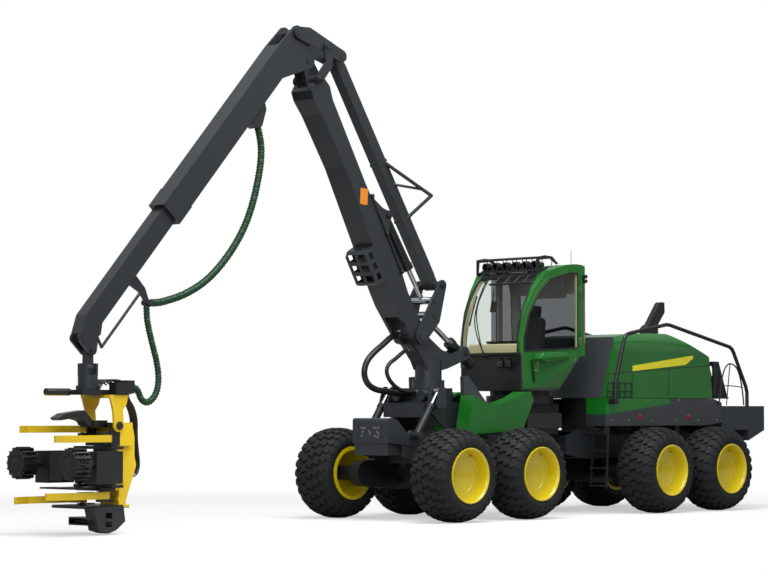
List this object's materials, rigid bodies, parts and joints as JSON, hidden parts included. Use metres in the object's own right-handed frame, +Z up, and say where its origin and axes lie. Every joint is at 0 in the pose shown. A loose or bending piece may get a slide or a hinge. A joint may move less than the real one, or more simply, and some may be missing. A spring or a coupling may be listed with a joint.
{
  "type": "forestry harvester",
  "caption": "Articulated wheeled timber harvester: turning glazed cab, tilting parallel crane with telescopic jib and a felling head with rollers, knives and saw, rear engine under a hood.",
  "frame": {"origin": "on the ground under the middle of the whole machine's bounding box", "axes": "+X forward towards the crane's felling head, +Y to the machine's left (the cab door's side), +Z up"},
  "size_m": [14.17, 3.07, 7.0203],
  "materials": {
    "steel_grey": "satin",
    "steel_black": "satin",
    "green_paint": "gloss",
    "yellow_paint": "gloss",
    "chrome_rod": "polished",
    "wheel_set": "matt",
    "hose_rubber": "matt",
    "clear_glass": "clear",
    "seat_fabric": "matt",
    "black_plastic": "matt",
    "green_cover": "satin",
    "cast_steel": "rough",
    "worn_steel": "worn"
  },
  "bodies": {
    "front_frame": {"front_frame": "steel_grey", "front_bogies": "steel_grey", "cab_turntable": "steel_grey", "front_covers": "green_cover"},
    "rear_frame": {"rear_frame": "steel_grey", "rear_bogies": "steel_grey", "ladder": "steel_black", "engine_block": "cast_steel", "side_panels": "green_paint", "cooling_grille": "steel_black", "guard_rails": "steel_black"},
    "wheel_left_1": {"wheel_left_1": "wheel_set"},
    "wheel_left_2": {"wheel_left_2": "wheel_set"},
    "wheel_left_3": {"wheel_left_3": "wheel_set"},
    "wheel_left_4": {"wheel_left_4": "wheel_set"},
    "wheel_right_1": {"wheel_right_1": "wheel_set"},
    "wheel_right_2": {"wheel_right_2": "wheel_set"},
    "wheel_right_3": {"wheel_right_3": "wheel_set"},
    "wheel_right_4": {"wheel_right_4": "wheel_set"},
    "hood": {"hood": "green_paint", "exhaust": "steel_black"},
    "cab": {"cab_shell": "green_paint", "cab_glass": "clear_glass", "cab_seat": "seat_fabric", "work_lights": "black_plastic"},
    "cab_door": {"cab_door": "green_paint", "door_glass": "clear_glass"},
    "crane_base": {"crane_base": "steel_grey", "base_hose_front": "hose_rubber", "base_hose_back": "hose_rubber"},
    "tilt_barrels": {"tilt_barrels": "steel_grey"},
    "tilt_rods": {"tilt_rods": "chrome_rod"},
    "crane_pillar": {"crane_pillar": "steel_grey"},
    "lift_rocker": {"lift_rocker": "steel_grey"},
    "lift_barrel": {"lift_barrel": "steel_grey"},
    "lift_rod": {"lift_rod": "chrome_rod"},
    "main_boom": {"main_boom": "steel_grey", "boom_lamp": "steel_grey"},
    "parallel_bar": {"parallel_bar": "steel_grey"},
    "knuckle_rocker": {"knuckle_rocker": "steel_grey"},
    "knuckle_link": {"knuckle_link": "steel_grey"},
    "jib": {"jib": "steel_grey", "jib_hose": "hose_rubber"},
    "jib_extension": {"jib_extension": "steel_grey"},
    "reach_barrel": {"reach_barrel": "steel_grey"},
    "reach_rod": {"reach_rod": "chrome_rod"},
    "hanger": {"hanger": "steel_grey", "head_hose": "hose_rubber"},
    "head_yoke": {"head_yoke": "yellow_paint"},
    "head_frame": {"head_frame": "yellow_paint", "frame_hose": "hose_rubber"},
    "knife_left": {"knife_left": "worn_steel"},
    "knife_right": {"knife_right": "worn_steel"},
    "feed_arm_left": {"feed_arm_left": "steel_black"},
    "feed_arm_right": {"feed_arm_right": "steel_black"},
    "feed_roller_left": {"feed_roller_left": "worn_steel"},
    "feed_roller_right": {"feed_roller_right": "worn_steel"},
    "saw_bar": {"saw_bar": "worn_steel"}
  },
  "joints": [
    {"name": "steering", "type": "hinge", "parent": "front_frame", "child": "rear_frame", "pos_m": [-2.72, 0, 1], "axis": [0, 0, 1], "range_deg": [-40, 40]},
    {"name": "wheel_left_1_spin", "type": "hinge", "parent": "front_frame", "child": "wheel_left_1", "pos_m": [0.4, 1.18, 0.67], "axis": [0, 1, 0], "continuous": true},
    {"name": "wheel_left_2_spin", "type": "hinge", "parent": "front_frame", "child": "wheel_left_2", "pos_m": [-1.16, 1.18, 0.67], "axis": [0, 1, 0], "continuous": true},
    {"name": "wheel_left_3_spin", "type": "hinge", "parent": "rear_frame", "child": "wheel_left_3", "pos_m": [-4.28, 1.18, 0.67], "axis": [0, 1, 0], "continuous": true},
    {"name": "wheel_left_4_spin", "type": "hinge", "parent": "rear_frame", "child": "wheel_left_4", "pos_m": [-5.84, 1.18, 0.67], "axis": [0, 1, 0], "continuous": true},
    {"name": "wheel_right_1_spin", "type": "hinge", "parent": "front_frame", "child": "wheel_right_1", "pos_m": [0.4, -1.18, 0.67], "axis": [0, 1, 0], "continuous": true},
    {"name": "wheel_right_2_spin", "type": "hinge", "parent": "front_frame", "child": "wheel_right_2", "pos_m": [-1.16, -1.18, 0.67], "axis": [0, 1, 0], "continuous": true},
    {"name": "wheel_right_3_spin", "type": "hinge", "parent": "rear_frame", "child": "wheel_right_3", "pos_m": [-4.28, -1.18, 0.67], "axis": [0, 1, 0], "continuous": true},
    {"name": "wheel_right_4_spin", "type": "hinge", "parent": "rear_frame", "child": "wheel_right_4", "pos_m": [-5.84, -1.18, 0.67], "axis": [0, 1, 0], "continuous": true},
    {"name": "hood_lift", "type": "hinge", "parent": "rear_frame", "child": "hood", "pos_m": [-6.08, 0, 2.44], "axis": [0, -1, 0], "range_deg": [0, 50]},
    {"name": "cab_turn", "type": "hinge", "parent": "front_frame", "child": "cab", "pos_m": [-2.4, 0, 1.9], "axis": [0, 0, -1], "range_deg": [-80, 80]},
    {"name": "door_swing", "type": "hinge", "parent": "cab", "child": "cab_door", "pos_m": [-2.856, 0.864, 2.8], "axis": [0, 0, 1], "range_deg": [0, 85]},
    {"name": "crane_tilt", "type": "hinge", "parent": "front_frame", "child": "crane_base", "pos_m": [-0.4, 0, 1.3], "axis": [0, 1, 0], "range_deg": [-25, 17]},
    {"name": "tilt_barrel_swing", "type": "hinge", "parent": "front_frame", "child": "tilt_barrels", "pos_m": [0.451, 0, 1.237], "axis": [0, 1, 0], "range_deg": [-10, 8]},
    {"name": "tilt_rod_slide", "type": "slide", "parent": "tilt_barrels", "child": "tilt_rods", "axis": [-0.5786, 0, 0.8156], "range_m": [-0.22, 0.3]},
    {"name": "crane_slew", "type": "hinge", "parent": "crane_base", "child": "crane_pillar", "pos_m": [-0.33, 0, 2], "axis": [0, 0, -1], "range_deg": [-110, 110], "deforming": ["base_hose_back"]},
    {"name": "boom_lift", "type": "hinge", "parent": "crane_pillar", "child": "lift_rocker", "pos_m": [0.055, 0, 2.7], "axis": [0, -1, 0], "range_deg": [-25, 20]},
    {"name": "lift_barrel_swing", "type": "hinge", "parent": "crane_pillar", "child": "lift_barrel", "pos_m": [-1, 0, 2.47], "axis": [0, -1, 0], "range_deg": [-2, 2]},
    {"name": "lift_rod_slide", "type": "slide", "parent": "lift_barrel", "child": "lift_rod", "axis": [0.8238, 0, 0.5669], "range_m": [-0.16, 0.19]},
    {"name": "boom_reach", "type": "hinge", "parent": "lift_rocker", "child": "main_boom", "pos_m": [0.055, 0, 2.7], "axis": [0, -1, 0], "range_deg": [-45, 15], "deforming": ["base_hose_front"]},
    {"name": "bar_swing", "type": "hinge", "parent": "lift_rocker", "child": "parallel_bar", "pos_m": [-0.38207, 0, 3.45839], "axis": [0, -1, 0], "range_deg": [-52, 18]},
    {"name": "jib_fold", "type": "hinge", "parent": "main_boom", "child": "jib", "pos_m": [2.28967, 0, 6.54417], "axis": [0, -1, 0], "range_deg": [-35, 96]},
    {"name": "knuckle_swing", "type": "hinge", "parent": "jib", "child": "knuckle_rocker", "pos_m": [2.51581, 0, 6.91529], "axis": [0, -1, 0], "range_deg": [-46, 16]},
    {"name": "link_swing", "type": "hinge", "parent": "main_boom", "child": "knuckle_link", "pos_m": [2.16844, 0, 6.28787], "axis": [0, -1, 0], "range_deg": [-24, 68]},
    {"name": "reach_barrel_swing", "type": "hinge", "parent": "main_boom", "child": "reach_barrel", "pos_m": [0.62404, 0, 4.44893], "axis": [0, -1, 0], "range_deg": [-4, 2]},
    {"name": "reach_rod_slide", "type": "slide", "parent": "reach_barrel", "child": "reach_rod", "axis": [-0.5611, 0, -0.8278], "range_m": [-0.16, 0.46]},
    {"name": "jib_telescope", "type": "slide", "parent": "jib", "child": "jib_extension", "axis": [0.6639, 0, -0.7478], "range_m": [-0.95, 0.35], "deforming": ["jib_hose"]},
    {"name": "head_swing", "type": "hinge", "parent": "jib_extension", "child": "hanger", "pos_m": [6.13448, 0, 2.38084], "axis": [0, 1, 0], "range_deg": [-45, 45], "deforming": ["head_hose"]},
    {"name": "rotator", "type": "hinge", "parent": "hanger", "child": "head_yoke", "pos_m": [6.13448, 0, 1.889], "axis": [0, 0, 1], "range_deg": [-170, 170]},
    {"name": "head_tilt", "type": "hinge", "parent": "head_yoke", "child": "head_frame", "pos_m": [5.85, 0, 1.4], "axis": [0, 1, 0], "range_deg": [0, 90], "deforming": ["frame_hose"]},
    {"name": "knife_left_swing", "type": "hinge", "parent": "head_frame", "child": "knife_left", "pos_m": [6.06, 0.19, 0.8], "axis": [0, 0, 1], "range_deg": [-12, 35]},
    {"name": "knife_right_swing", "type": "hinge", "parent": "head_frame", "child": "knife_right", "pos_m": [6.06, -0.19, 0.8], "axis": [0, 0, 1], "range_deg": [-35, 12]},
    {"name": "feed_arm_left_swing", "type": "hinge", "parent": "head_frame", "child": "feed_arm_left", "pos_m": [6, 0.33, 0.9], "axis": [0, 0, 1], "range_deg": [-8, 20]},
    {"name": "feed_arm_right_swing", "type": "hinge", "parent": "head_frame", "child": "feed_arm_right", "pos_m": [6, -0.33, 0.9], "axis": [0, 0, 1], "range_deg": [-20, 8]},
    {"name": "feed_roller_left_spin", "type": "hinge", "parent": "feed_arm_left", "child": "feed_roller_left", "pos_m": [6.6, 0.54, 0.92], "axis": [1, 0, 0], "continuous": true},
    {"name": "feed_roller_right_spin", "type": "hinge", "parent": "feed_arm_right", "child": "feed_roller_right", "pos_m": [6.6, -0.54, 0.92], "axis": [1, 0, 0], "continuous": true},
    {"name": "saw_swing", "type": "hinge", "parent": "head_frame", "child": "saw_bar", "pos_m": [6, 0.3, 0.15], "axis": [0, 0, 1], "range_deg": [0, 80]}
  ],
  "couplings": [
    {"joint": "tilt_barrel_swing", "follows": "crane_tilt", "ratio": 0.33},
    {"joint": "tilt_rod_slide", "follows": "crane_tilt", "m_per_rad": -0.642},
    {"joint": "lift_barrel_swing", "follows": "boom_lift", "ratio": -0.04},
    {"joint": "lift_rod_slide", "follows": "boom_lift", "m_per_rad": -0.405},
    {"joint": "bar_swing", "follows": "boom_reach", "ratio": 1.105},
    {"joint": "jib_fold", "follows": "boom_reach", "ratio": -2.06},
    {"joint": "knuckle_swing", "follows": "boom_reach", "ratio": 0.98},
    {"joint": "link_swing", "follows": "boom_reach", "ratio": -1.45},
    {"joint": "reach_barrel_swing", "follows": "boom_reach", "ratio": 0.06},
    {"joint": "reach_rod_slide", "follows": "boom_reach", "m_per_rad": -0.567},
    {"joint": "knife_right_swing", "follows": "knife_left_swing", "ratio": -1},
    {"joint": "feed_arm_right_swing", "follows": "feed_arm_left_swing", "ratio": -1}
  ]
}
